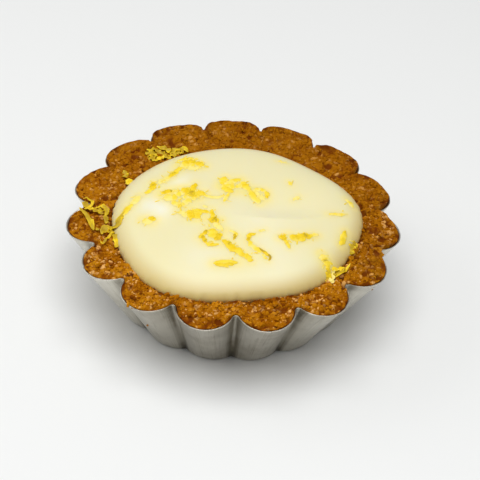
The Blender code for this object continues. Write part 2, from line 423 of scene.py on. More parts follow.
def tin_dents(tin, azimuth, height):
    """How far the sheet stands out, from creases and soft dents left by the press."""
    rng = np.random.default_rng(31)
    flute = 2 * pi / tin.flutes
    out = np.zeros_like(azimuth)
    for number in range(tin.flutes):
        crown = tin.crest_azimuth + number * flute
        for _ in range(rng.integers(2, 4)):
            place = crown + rng.uniform(-0.3, 0.3) * flute
            width = radians(rng.uniform(0.35, 0.8))
            depth = tin.crease_depth * rng.uniform(0.4, 1)
            apart = (azimuth - place + pi) % (2 * pi) - pi
            out -= depth * np.exp(-((apart / width) ** 2))
    spots = (Vector((cos(a) * DENT_ROUND, sin(a) * DENT_ROUND, height / DENT_RISE)) for a in azimuth)
    return out * smooth_step(height, 0, 5 * MM) + DENT_DEPTH * np.array([noise.noise(spot) for spot in spots])


def crown_share(tin, azimuth):
    """How far out the wall lies in a direction, from 0 at a ridge's tip to 1 at a lobe's crown."""
    return np.abs(np.cos(tin.flutes * (azimuth - tin.crest_azimuth) / 2))


def rim_dip(tin, azimuth, level):
    """How much lower a level row lies at the lobes' crowns."""
    return tin.rim_dip * crown_share(tin, azimuth) * level**2


def tin_rows(tin):
    """Height and offset of the tin's rows: round the base, up the wall, over the rim and down inside."""
    hem = TIN_HEIGHT - tin.hem_height
    out = tin.sheet
    proud = tin.sheet + tin.hem_step
    corner = [(tin.corner * (1 - cos(a)), out - tin.corner * (1 - sin(a))) for a in np.linspace(0, pi / 2, 5)]
    wall = [(z, out) for z in np.linspace(tin.corner, hem - HEM_EASE, 22)[1:]]
    step = [(hem - 0.06 * MM, out + 0.2 * tin.hem_step), (hem + 0.06 * MM, out + 0.85 * tin.hem_step)]
    band = [(hem + HEM_EASE, proud), (TIN_HEIGHT - 0.6 * MM, proud)]
    edge = [(TIN_HEIGHT - proud / 2 * (1 - sin(a)), proud / 2 * (1 + cos(a))) for a in np.linspace(0, pi, 9)]
    inside = [(TIN_HEIGHT / 2, 0), (tin.sheet, 0)]
    return corner + wall + step + band + edge + inside


def tin_finish(tin):
    finish = Finish("dull_tinplate")
    place = finish.place()
    x, y, z = finish.axes(place)
    azimuth = finish.maths("ARCTAN2", y, x)
    # Streaks run up the wall: fine round the tin, long from base to rim.
    streaks = finish.noise(finish.vector(azimuth * 26.0, z * 60.0, 0.0), 3.0, 4.0, 0.6)
    cloud = finish.noise(place, 130.0, 3.0, 0.55)
    fine = finish.noise(place, 1500.0, 2.0, 0.6)
    # Painted shade on the served side and painted light at the left: the film is made thickest at the front
    # and thin at its left.
    front_shade = finish.fit(y, -0.012, -0.034) * finish.fit(x, -0.024, -0.014) * finish.fit(x, 0.026, 0.014)
    # It gathers in the grooves on both sides of a ridge, with painted shade there and a painted highlight
    # along the ridge's tip, and in hairlines.
    crown = abs(finish.maths("COSINE", (azimuth - tin.crest_azimuth) * (tin.flutes / 2)))
    ridge_highlight = finish.fit(crown, 0.15, 0.02) * finish.fit(z, 0.003, 0.013)
    ridge_highlight = ridge_highlight * finish.fit(cloud, 0.35, 0.55, 0.35, 0.9)
    groove = finish.fit(crown, 0.42, 0.14) * (1 - ridge_highlight)
    # Painted shade at the foot of each ridge, laid on with the grooves' painted shade.
    foot = finish.fit(z, 0.004, 0.0005) * finish.fit(crown, 0.3, 0.1)
    drift = finish.noise(finish.vector(azimuth * 5.0, z * 4.0, 4.0), 3.0, 3.0, 0.7) - 0.5
    hairline = finish.fit(abs(drift), 0.02, 0.002)
    # Random film, made thinner at the left as painted light.
    spread = finish.fit(cloud + 0.25 * streaks, 0.45, 0.95) * finish.fit(x, -0.034, -0.014, 0.55, 1.0)
    # The film is partly real tarnish and hairlines, and partly painted shade and light.
    film_and_shade = 0.42 * spread + 0.32 * front_shade + 0.35 * groove + 0.16 * hairline
    shade = groove * finish.fit(cloud, 0.3, 0.65, 0.12, 0.38) + 0.5 * foot
    finish.set(
        Base_Color=finish.mix(shade, finish.mix(film_and_shade, tin.metal, tin.tarnish), tin.grime),
        Metallic=1.0,
        Roughness=tin.roughness + 0.16 * film_and_shade + 0.1 * fine,
        Normal=finish.bump(streaks + 0.25 * fine - 0.5 * hairline, 0.05 * MM, 0.5),
    )
    return finish.material


class BuildTin(bpy.types.Operator):
    """Build the fluted tin"""

    bl_idname = "tartlet.tin"
    bl_label = "Fluted Tin"

    def execute(self, context):
        tin = context.scene.tartlet.tin
        rows = []
        for height, offset in tin_rows(tin):
            level = height / TIN_HEIGHT
            radius, azimuth = flute_outline(tin, level, offset, TIN_STEPS)
            radius = radius + tin_dents(tin, azimuth, height) * smooth_step(height, 0, 2 * MM)
            rows.append(round_row(radius, azimuth, height - rim_dip(tin, azimuth, level)))
        piece = lofted("tin_shell", rows, tin_finish(tin))
        piece.data.set_sharp_from_angle(angle=radians(50))
        settle(piece, "tinplate", "tin")
        return {"FINISHED"}


# ---------------- cream

# The cream's edge: (waves round, height, azimuth of a crest).
CREAM_WAVES = in_units(
    (1, MM, DEGREE),
    (1, 2.65, -80),
    (2, 0.8, 22),
    (3, 0.55, -3),
    (4, 0.15, -17),
    (5, 0.45, 19),
    (6, 0.3, 8),
)
# Soft swells and hollows left by the spoon: (x, y, reach, height).
SWELLS = in_units(
    (MM, MM, MM, MM),
    (-11.0, 6.0, 5.0, 0.5),
    (-16.5, -3.5, 5.0, 0.45),
    (13.0, 1.5, 7.0, -0.5),
    (10.0, -7.0, 5.0, 0.3),
)
# A lip drawn by the spoon: points along its crest, its height, and the depth of the hollow behind it.
LIP = in_units((MM, MM), (-3.0, -4.8), (3.5, -6.0), (9.0, -6.4), (15.0, -5.3), (24.0, -1.4))
LIP_HEIGHT, HOLLOW_DEPTH = 0.6 * MM, 0.6 * MM
# Its steep back, the far side of the hollow and its long fall to the front.
LIP_BACK, HOLLOW_REACH, LIP_FRONT = 5.2 * MM, 4.6 * MM, 6.0 * MM
# Turns the middle of the served side, where the painted shade on the cream's foot is deepest, to the +X axis.
SERVED_TURN = radians(72)
# How far crumbs push the cream's foot in and out, as a share of its radius.
FOOT_WANDER = 0.008
CREAM_SEGMENTS, DOME_ROWS = 540, 150
CREAM_FLOOR_SCALE = 0.72
# The cream's side in the crust: share of the edge's radius, and depth under the rim.
CREAM_SIDE = ((0.97, 2.4 * MM), (0.99, 0.9 * MM))
# How far the peel's colour spreads in the cream, strongly and faintly, and how strong the faint part is. The
# spread is partly staining by the peel and partly painted glow of light through it.
STAIN_REACH, HALO_REACH, HALO = 0.6 * MM, 1.6 * MM, 0.36
# How strongly a shred stains the cream: widths in millimetres, and the strength at each.
STAIN_STRENGTH = ((0.7, 2.0), (0.4, 0.8))
# Where the cream is paler, partly whiter cream and partly painted highlight and sheen: x, y, reach and how
# much.
PALE_AND_HIGHLIGHT_PATCHES = in_units(
    (MM, MM, MM, 1),
    (-12.8, 5.4, 2.4, 1.0),
    (-19.0, -2.6, 2.8, 1.0),
    (-15.6, -4.2, 2.4, 1.0),
    (-16.6, -6.8, 2.4, 0.6),
    (6.0, -8.0, 9.0, 0.45),
    (-6.0, -19.5, 5.0, 0.6),
    (10.0, -18.5, 6.0, 0.45),
)


def cream_edge(cream, azimuth):
    waves = sum(height * np.cos(count * (azimuth - crest)) for count, height, crest in CREAM_WAVES)
    return cream.radius + waves


def cream_top(cream, x, y):
    """Height of the cream's surface, and how far out the place lies as a share of the way to the edge."""
    share = np.hypot(x, y) / cream_edge(cream, np.arctan2(y, x))
    inside = np.minimum(share, 1)
    dome = cream.dome * np.sqrt(1 - inside**cream.fullness)
    swell = soft_spots(SWELLS, x, y)
    crest_x, crest_y = np.array(LIP).T
    ahead = np.interp(x, crest_x, crest_y) - y
    back = np.maximum(-ahead, 0)
    rise = LIP_HEIGHT - (LIP_HEIGHT + HOLLOW_DEPTH) * np.sin(np.minimum(back / LIP_BACK, 1) * pi / 2)
    hollow = -HOLLOW_DEPTH * np.exp(-((np.maximum(back - LIP_BACK, 0) / HOLLOW_REACH) ** 2))
    front = LIP_HEIGHT * np.exp(-np.maximum(ahead, 0) / LIP_FRONT)
    along = smooth_step(x, crest_x[0], crest_x[2]) * (1 - smooth_step(x, crest_x[3], crest_x[4]))
    lip = along * np.where(ahead > 0, front, np.where(back < LIP_BACK, rise, hollow))
    return TIN_HEIGHT + cream.foot + dome + (swell + lip) * (1 - inside**2), share


def cream_finish(cream):
    finish = Finish("set_lemon_cream")
    place = finish.place()
    cloud = finish.noise(place, 90.0, 2.0, 0.5)
    fine = finish.noise(place, 900.0, 3.0, 0.6)
    # Paler cream in patches, partly painted highlight and sheen.
    pale = finish.mix(finish.attribute("pale") * 0.6, cream.colour, cream.pale)
    # Painted shade and warm bounce on the cream's foot, most on the served side.
    edge = finish.fit(finish.attribute("edge"), 0.84, 1.02) * finish.attribute("served")
    clean = finish.mix(edge, pale, cream.edge)
    # Staining by the peel, partly painted glow, round the shreds.
    colour = finish.mix(finish.attribute("stain_and_glow") * 0.68, clean, cream.stained)
    finish.set(
        Base_Color=colour,
        Roughness=0.32 + 0.14 * cloud,
        Subsurface_Weight=0.5,
        Subsurface_Radius=(1.0, 0.85, 0.5),
        Subsurface_Scale=2.0 * MM,
        Specular_IOR_Level=0.5,
        Normal=finish.bump(cloud + 0.2 * fine, 0.12 * MM, 0.5),
    )
    return finish.material


def stain_and_glow_near_zest(x, y):
    """How yellow the cream is, from 0 to 1, partly staining by the peel and partly painted glow: most where
    several broad shreds lie together.
    """
    clean = np.ones(len(x))
    for shred in CREAM_SHREDS:
        path_x, path_y = shred_path(shred)
        reach = np.ptp(path_x) + np.ptp(path_y) + shred.width * MM + 2 * HALO_REACH
        near = np.hypot(x - path_x.mean(), y - path_y.mean()) < reach
        apart = np.hypot(x[near, None] - path_x, y[near, None] - path_y).min(axis=1)
        beyond = np.maximum(apart - shred.width * MM / 2, 0)
        stain_and_glow = mix(np.exp(-((beyond / STAIN_REACH) ** 2)), np.exp(-((beyond / HALO_REACH) ** 2)), HALO)
        clean[near] *= 1 - stain_and_glow * np.interp(shred.width, *STAIN_STRENGTH)
    return 1 - clean


class BuildCream(bpy.types.Operator):
    """Build the domed lemon cream"""

    bl_idname = "tartlet.cream"
    bl_label = "Lemon Cream"

    def execute(self, context):
        cream = context.scene.tartlet.cream
        azimuth = np.arange(CREAM_SEGMENTS) * 2 * pi / CREAM_SEGMENTS
        edge = cream_edge(cream, azimuth)
        foot_wander = np.array([noise.noise(Vector((cos(a), sin(a), 0)) * 22) for a in azimuth]) * FOOT_WANDER
        rows = [round_row(edge * CREAM_FLOOR_SCALE, azimuth, CREAM_FLOOR)]
        rows += [round_row(edge * share, azimuth, TIN_HEIGHT - depth) for share, depth in CREAM_SIDE]
        # Rows crowd where the dome turns over at its foot.
        for step in np.linspace(0, 1, DOME_ROWS)[:-1]:
            share = cos(step * pi / 2)
            x, y = edge * share * np.cos(azimuth), edge * share * np.sin(azimuth)
            z = cream_top(cream, x, y)[0]
            # Crumbs push the foot in and out a little.
            push = 1 + foot_wander * smooth_step(share, 0.96, 1)
            rows.append(np.stack([x * push, y * push, z], axis=-1))
        piece = lofted("cream_dome", rows, cream_finish(cream))
        points = np.empty(len(piece.data.vertices) * 3, np.float32)
        piece.data.vertices.foreach_get("co", points)
        x, y = points[0::3], points[1::3]
        store(piece.data, "stain_and_glow", stain_and_glow_near_zest(x, y))
        store(piece.data, "edge", cream_top(cream, x, y)[1])
        # How strongly the painted shade falls on the foot on each side.
        served = smooth_step(np.cos(np.arctan2(y, x) + SERVED_TURN), -0.5, 0.6)
        store(piece.data, "served", mix(0.35, 1, served))
        store(piece.data, "pale", soft_spots(PALE_AND_HIGHLIGHT_PATCHES, x, y))
        settle(piece, "lemon_cream", "filling")
        return {"FINISHED"}


# ---------------- crust

CRUST_STEPS, CRUST_BAND_ROWS = (31, 11), 66
# How far the crust stays clear of the tin, reaches under the cream, and steps down along the wall.
CRUST_CLEARANCE, CRUST_TUCK, CRUST_STEP = 0.05 * MM, 1.2 * MM, 2 * MM
# How far in from the wall the crust follows the rim's dips, and how far a ridge notches it.
CRUST_FOLLOWS, NOTCH_REACH = 4.5 * MM, 1.4 * MM
# Turns the pile's middle from the back towards the right.
PILE_TURN = radians(22)
# How much flatter the small grains are at the back, and from where to where they get so.
BACK_CALM, BACK_REACH = 0.6, (-4 * MM, 16 * MM)
# Where the crust is darker or lighter than round about: x, y, reach and how much.
DARKENED_PATCHES = in_units(
    (MM, MM, MM, 1),
    (-32.0, -6.0, 10.0, 0.4),
    (-26.0, 18.0, 9.0, -0.25),
    (26.0, 18.0, 9.0, -0.35),
    (34.5, 3.0, 9.0, -0.6),
    (31.0, -14.0, 7.0, 0.6),
)


def cell_number(centre):
    """A number from 0 to 1 that stays the same all over one cell."""
    return abs(sin(centre.x * 12.9898 + centre.y * 78.233 + centre.z * 37.719) * 43758.5453) % 1


def grain_at(place, size, depth):
    """The grain that covers a place: how high it stands there, from 0 to 1, and its own number."""
    spot = Vector((place.x / size, place.y / size, depth))
    spot += 0.22 * noise.noise_vector(spot * 1.3)
    near, centres = noise.voronoi(spot)
    number = cell_number(centres[0])
    reach = 0.34 + 0.3 * cell_number(centres[0].yxz)
    return max(1 - (near[0] / reach) ** 2, 0) ** 0.5, number, near[1] - near[0]


def crumb_at(crust, place, openness, calm):
    """Height, tone and painted shade in the crevices of the broken surface at one place.

    Tone is 0 on toasted grains, about a half on the crumb between grains and 1 on pale ones, which partly
    stand for painted glints. Openness adds pits and crevices, with painted shade in them, and calm scales the
    small grains.
    """
    mass = noise.fractal(place / crust.mass, 1.0, 2.0, 3)
    lump, lump_number, lump_gap = grain_at(place, crust.lump, 3.1)
    grain, grain_number, grain_gap = grain_at(place, crust.grain, 7.7)
    grit, grit_number, grit_gap = grain_at(place, crust.grit, 1.3)
    pit, pit_number, _ = grain_at(place, crust.pit, 11.9)

    height = crust.mass_height * mass
    height += crust.lump_height * (lump * (0.3 + 0.7 * lump_number) - 0.35)
    height += crust.grain_height * (grain * (0.35 + 0.65 * grain_number) - 0.35) * calm
    height += crust.grit_height * (grit * (0.3 + 0.7 * grit_number) - 0.3) * calm
    hole = pit * (pit_number < 0.14 + 0.3 * openness)
    height -= crust.pit_depth * hole * (0.5 + 0.5 * openness)

    tone = 0.5 + 0.22 * (lump_number - 0.5) + 0.2 * (grain_number - 0.5) + 0.12 * calm * (grit_number - 0.5)
    for cover, number in ((grit * calm, grit_number), (grain, grain_number)):
        solid = min(cover / 0.45, 1)
        if number > 0.9:
            tone = mix(tone, 0.8 + 2.0 * (number - 0.9), solid)
        elif number < 0.08:
            tone = mix(tone, 0.3 - 3.0 * (0.08 - number), solid)
    # The lumps have broken apart at some places only.
    broken = min(max(0.5 + 1.6 * noise.noise(place / (3.2 * MM)), 0), 1)
    # Painted shade in the gaps between lumps, crumbs and grains.
    between = max(1 - lump_gap / 0.17, 0) * 0.9 * broken
    between += max(1 - grain_gap / 0.16, 0) * 0.35 + max(1 - grit_gap / 0.2, 0) * 0.2 * calm
    # Painted shade: beside the tin and the cream the crust is darkest in its hollows, in patches.
    patch = min(max(2.8 * noise.noise(place / (2.4 * MM) + Vector((7, 3, 1))), 0), 1)
    crevice_shade = min(max(between, 1.4 * hole, openness * patch), 1)
    return height, tone, crevice_shade


def crust_level(settings, x, y):
    """Height of the crust before its relief: low beside a lobe's crown and piled up behind a ridge."""
    tin, crust = settings.tin, settings.crust
    radius, azimuth = np.hypot(x, y), np.arctan2(y, x)
    wall = wall_radius(tin, azimuth)
    crown = crown_share(tin, azimuth)
    back = smooth_step(np.sin(azimuth + PILE_TURN), -0.4, 0.3)
    beside = smooth_step(radius, wall - CRUST_FOLLOWS, wall)
    # The ridge itself leaves a narrow notch in the pile.
    notch = (1 - smooth_step(crown, 0.02, 0.16)) * smooth_step(radius, wall - NOTCH_REACH, wall)
    pile = crust.pile * back * (1 - crown) * (1 - 0.75 * notch)
    return TIN_HEIGHT + crust.lift + beside * (pile - tin.rim_dip * crown)


def wall_radius(tin, azimuth):
    """Radius of the tin's inner wall at the rim, in any direction."""
    radii, azimuths = flute_outline(tin, 1, 0, TIN_STEPS)
    azimuths %= 2 * pi
    order = np.argsort(azimuths)
    return np.interp(azimuth, azimuths[order], radii[order], period=2 * pi)


def crust_relief(settings, x, y):
    """Height, tone and painted shade in the crevices of many places; the crust is more open beside the tin
    and the cream.
    """
    radius, azimuth = np.hypot(x, y), np.arctan2(y, x)
    beside_tin = 1 - smooth_step(wall_radius(settings.tin, azimuth) - radius, 0.5 * MM, 2.4 * MM)
    beside_cream = 1 - smooth_step(radius - cream_edge(settings.cream, azimuth), 0.2 * MM, 1.8 * MM)
    openness = np.maximum(beside_tin, beside_cream)
    places = zip(x, y, openness, 1 - BACK_CALM * smooth_step(y, *BACK_REACH))
    return np.array([crumb_at(settings.crust, Vector((px, py, 0)), *shares) for px, py, *shares in places]).T


def crust_finish(crust):
    finish = Finish("baked_crumb")
    place = finish.place()
    cloud = finish.noise(place, 210.0, 3.0, 0.55)
    speckle = finish.noise(place, 1700.0, 3.0, 0.65)
    grit = finish.noise(place, 4200.0, 2.0, 0.7)
    blotch = finish.fit(finish.noise(place, 620.0, 2.0, 0.55), 0.6, 0.74)
    tone = finish.attribute("tone")
    x, y, _ = finish.axes(place)
    # Darker towards the back and the right, more or less so in the listed patches.
    darkened = finish.fit(y + 0.35 * x + 0.02 * (cloud - 0.5), -0.016, 0.018)
    for patch_x, patch_y, reach, more in DARKENED_PATCHES:
        away = finish.distance(place, (patch_x, patch_y, TIN_HEIGHT))
        darkened = darkened + more * finish.fit(away, reach, 0.0)
    light = finish.mix(finish.fit(cloud + 0.5 * speckle, 0.65, 1.05), crust.brown, crust.golden)
    patchy = finish.mix(finish.fit(cloud + 0.3 * speckle, 0.66, 0.42), light, crust.toasted)
    grained = finish.mix(finish.fit(tone, 0.4, 0.22) * 0.7, patchy, crust.toasted)
    bright = finish.mix(finish.fit(tone, 0.55, 0.7) * 0.6, grained, crust.golden)
    matrix = finish.mix(darkened * 0.72, bright, crust.darkened)
    toasted = finish.fit(tone + 0.15 * (speckle - 0.5), 0.4, 0.1)
    # Pale crumbs, partly painted glints, fewer where the crust is darkened.
    pale = finish.fit(tone + 0.15 * (speckle - 0.5), 0.62, 0.95)
    toned = finish.mix(toasted * 0.6, finish.mix(blotch * 0.4, matrix, crust.pale), crust.dark)
    colour = finish.mix(pale * (1 - 0.62 * darkened), toned, crust.pale)
    rough = (speckle + 0.3 * grit) * finish.fit(y, *BACK_REACH, 1.0, 1 - BACK_CALM)
    finish.set(
        # Painted shade darkens the crevices.
        Base_Color=finish.mix(finish.attribute("crevice_shade") * 0.9, colour, crust.dark),
        Roughness=finish.fit(speckle, 0.3, 0.7, 0.45, 0.7),
        Specular_IOR_Level=0.03,
        Normal=finish.bump(rough, 0.16 * MM, 0.65),
    )
    return finish.material


def gap_depth(crust, radius, azimuth):
    """How deep the crust falls beside the tin: nothing at some places and an open gap at others."""
    spots = [Vector((r * cos(a), r * sin(a), 5 * MM)) for r, a in zip(radius, azimuth)]
    soft = np.array([noise.noise(spot / (4.5 * MM)) + 0.6 * noise.noise(spot / (1.5 * MM)) for spot in spots])
    back = smooth_step(np.sin(azimuth), -0.1, 0.5)
    return crust.shoulder * (np.clip(0.5 + 1.6 * soft, 0.15, 1.8) * (1 - 0.75 * back) - 0.3 * back)


def crust_rows(settings):
    """Rows from the underside, up the tin's wall, over the crumbly top and down into the hollow."""
    tin, crust, cream = settings.tin, settings.crust, settings.cream

    def outline(height, inset):
        return flute_outline(tin, height / TIN_HEIGHT, -CRUST_CLEARANCE - inset, CRUST_STEPS)

    rows = []
    for height in (CRUST_UNDERSIDE, TIN_HEIGHT / 2, TIN_HEIGHT - CRUST_STEP):
        radius, azimuth = outline(height, 0)
        rows.append(round_row(radius, azimuth, height - rim_dip(tin, azimuth, height / TIN_HEIGHT)))
    top = []
    # The shoulder beside the tin follows its sloping wall down, then the band runs in to under the cream.
    for inset in np.array([0, 0.12, 0.28, 0.5, 0.75]) * crust.shoulder:
        radius, azimuth = outline(TIN_HEIGHT, inset)
        fall = 1 - np.sqrt(1 - (1 - inset / crust.shoulder) ** 2)
        drop = gap_depth(crust, radius, azimuth) * fall
        under = round_row(*outline(TIN_HEIGHT - CRUST_STEP, inset), -CRUST_STEP)
        share = (np.maximum(drop - crust.lift, 0) / CRUST_STEP)[:, None]
        row = mix(round_row(radius, azimuth, 0), under, share)
        row[:, 2] = crust_level(settings, *round_row(radius, azimuth, 0)[:, :2].T) - drop
        top.append(row)
    outer, azimuth = outline(TIN_HEIGHT, crust.shoulder)
    inner = cream_edge(cream, azimuth) - CRUST_TUCK
    for share in np.linspace(0, 1, CRUST_BAND_ROWS):
        row = round_row(mix(outer, inner, share), azimuth, 0)
        row[:, 2] = crust_level(settings, *row[:, :2].T) - 0.5 * MM * smooth_step(share, 0.72, 0.95)
        top.append(row)
    hollow = round_row(inner * CREAM_FLOOR_SCALE, azimuth, CREAM_FLOOR)
    return rows, top, [hollow]


class BuildCrust(bpy.types.Operator):
    """Build the crumb crust"""

    bl_idname = "tartlet.crust"
    bl_label = "Crumb Crust"

    def execute(self, context):
        settings = context.scene.tartlet
        crust = settings.crust
        below, top, hollow = crust_rows(settings)
        band = np.array(top)
        flat = band.reshape(-1, 3)
        rows = len(top)
        height, tone, crevice_shade = crust_relief(settings, flat[:, 0], flat[:, 1])
        # Beside the tin the relief is held back, so that the crust stays within the sheet.
        freedom = np.interp(np.arange(rows), (0, 1, 2, 3, 5), (0.05, 0.3, 0.6, 0.85, 1))
        flat[:, 2] += height * np.repeat(freedom, band.shape[1])
        piece = lofted("crust_shell", [*below, *band, *hollow], crust_finish(crust))
        count = band.shape[1]
        before, after = np.zeros(len(below) * count), np.zeros(count + 2)
        store(piece.data, "tone", np.concatenate([before + 0.4, tone, after + 0.4]))
        store(piece.data, "crevice_shade", np.concatenate([before, crevice_shade, after]))
        settle(piece, "crumb_crust", "crust")
        return {"FINISHED"}


# ---------------- loose crumbs

# Tones that grains have, and how many of the large and of the small ones have each.
GRAIN_TONES = (0.12, 0.42, 0.5, 0.58, 0.8, 0.95)
COARSE_SHARES = (0.1, 0.2, 0.26, 0.2, 0.14, 0.1)
FINE_SHARES = (0.12, 0.28, 0.3, 0.2, 0.07, 0.03)
# Crumbs that hang on the outside of the tin: azimuth, distance from the wall, depth under the rim, size.
CLINGING = in_units(
    (DEGREE, MM, MM, MM),
    (235.4, 0.5, 0.7, 1.1),
    (236.8, 0.5, 1.3, 0.8),
    (234.6, 0.5, 1.5, 0.6),
    (230.9, 0.5, 8.5, 0.45),
    (238.1, 0.5, 9.2, 0.5),
    (331.7, 0.5, 4.0, 0.6),
    # Crust that has spilled over the ridge at the right.
    (345.3, 0.3, -0.3, 1.6),
    (344.2, 0.8, -0.1, 1.3),
    (346.4, 0.7, -0.2, 1.4),
    (345.5, 1.4, 0.1, 1.5),
    (344.9, 2.1, 0.4, 1.2),
)
CLINGING_TONE = 0.66
# The crumbs lie on the crust where its crevices are shallower than this.
OPEN_CREVICE = 0.65


def pebble(divisions):
    """Corners and faces of a round grain one unit in radius."""
    shape = bmesh.new()
    bmesh.ops.create_icosphere(shape, subdivisions=divisions, radius=1)
    corners = np.array([vertex.co for vertex in shape.verts])
    faces = np.array([[vertex.index for vertex in face.verts] for face in shape.faces])
    shape.free()
    return corners, faces


def scattered(name, places, sizes, tones, divisions, rng, material):
    """One mesh of uneven grains."""
    corners, faces = pebble(divisions)
    count = len(places)
    lumps = corners[None] * rng.uniform(0.6, 1.25, (count, len(corners), 1))
    lumps *= rng.uniform(0.65, 1.25, (count, 1, 3))
    turns = [Matrix.Rotation(rng.uniform(0, 2 * pi), 3, Vector(rng.normal(size=3))) for _ in range(count)]
    lumps = np.einsum("nij,nkj->nki", np.array(turns), lumps) * sizes[:, None, None] / 2
    points = (lumps + places[:, None]).reshape(-1, 3)
    every = (faces[None] + (np.arange(count) * len(corners))[:, None, None]).reshape(-1, 3)
    numbers = {"tone": np.repeat(tones, len(corners)), "crevice_shade": np.zeros(count * len(corners))}
    piece = mesh_object(name, points, every.tolist(), material, numbers)
    piece.data.set_sharp_from_angle(angle=radians(35))
    return piece


def crust_places(settings, count, size, rng):
    """Random places on the crust's broken top, each a little sunk."""
    crust = settings.crust
    azimuth = rng.uniform(0, 2 * pi, count)
    outer = wall_radius(settings.tin, azimuth) - 0.2 * MM - size / 2
    inner = cream_edge(settings.cream, azimuth) - 0.1 * MM + 0.15 * size
    radius = np.sqrt(mix(inner**2, outer**2, rng.uniform(0, 1, count)))
    x, y = radius * np.cos(azimuth), radius * np.sin(azimuth)
    relief, _, crevice_shade = crust_relief(settings, x, y)
    fall = gap_depth(crust, radius, azimuth) * (1 - smooth_step(outer - radius, 0, 0.7 * MM)) * 0.7
    places = np.stack([x, y, crust_level(settings, x, y) + relief - 0.08 * size - fall], axis=-1)
    return places, crevice_shade < OPEN_CREVICE


class BuildCrumbs(bpy.types.Operator):
    """Scatter loose crumbs on the crust and on the tin"""

    bl_idname = "tartlet.crumbs"
    bl_label = "Loose Crumbs"

    def execute(self, context):
        settings = context.scene.tartlet
        crust, tin = settings.crust, settings.tin
        rng = np.random.default_rng(7)
        material = bpy.data.materials["baked_crumb"]
        for name, count, sizes, shares, divisions in (
            ("coarse_crumbs", crust.coarse, (0.6 * MM, 1.5 * MM), COARSE_SHARES, 2),
            ("fine_crumbs", crust.fine, (0.3 * MM, 0.6 * MM), FINE_SHARES, 1),
        ):
            size = mix(*sizes, rng.uniform(0, 1, count) ** 2.5)
            places, kept = crust_places(settings, count, size, rng)
            tones = rng.choice(GRAIN_TONES, count, p=shares) + rng.normal(0, 0.03, count)
            # Large crumbs are never the palest or darkest, and at the back the tones lie closer together.
            tones = np.where(size > 1.1 * MM, np.clip(tones, 0.42, 0.66), tones)
            tones = 0.5 + (tones - 0.5) * (1 - 0.6 * BACK_CALM * smooth_step(places[:, 1], *BACK_REACH))
            piece = scattered(name, places[kept], size[kept], tones[kept], divisions, rng, material)
            settle(piece, "crumb_crust")

        lean = (tin.rim_crest - tin.base_crest) / TIN_HEIGHT
        azimuth, away, below, size = np.array(CLINGING).T
        out = wall_radius(tin, azimuth) + away - np.maximum(below, 0) * lean
        places = round_row(out, azimuth, TIN_HEIGHT - below)
        tones = np.full(len(CLINGING), CLINGING_TONE)
        settle(scattered("clinging_crumbs", places, size, tones, 2, rng, material), "crumb_crust")
        return {"FINISHED"}


# ---------------- zest


class Shred(NamedTuple):
    """One shred of zest: points along it in millimetres, its width, its tone and how far it hangs free."""

    path: tuple
    width: float
    tone: float
    free: float = 0.0


# Tones from olive peel, which is painted shade, to faint peel that the cream half covers, and the pale pith
# under the peel. Dull peel is partly that painted shade.
OLIVE_SHADE, DULL, DEEP, WARM, SOFT, FAINT, PITH = 0.06, 0.14, 0.25, 0.5, 0.75, 1.0, 1.4
# Painted shade on the peel that lies on the crust: its tone is lowered by this much.
CRUST_PEEL_SHADE = 0.27

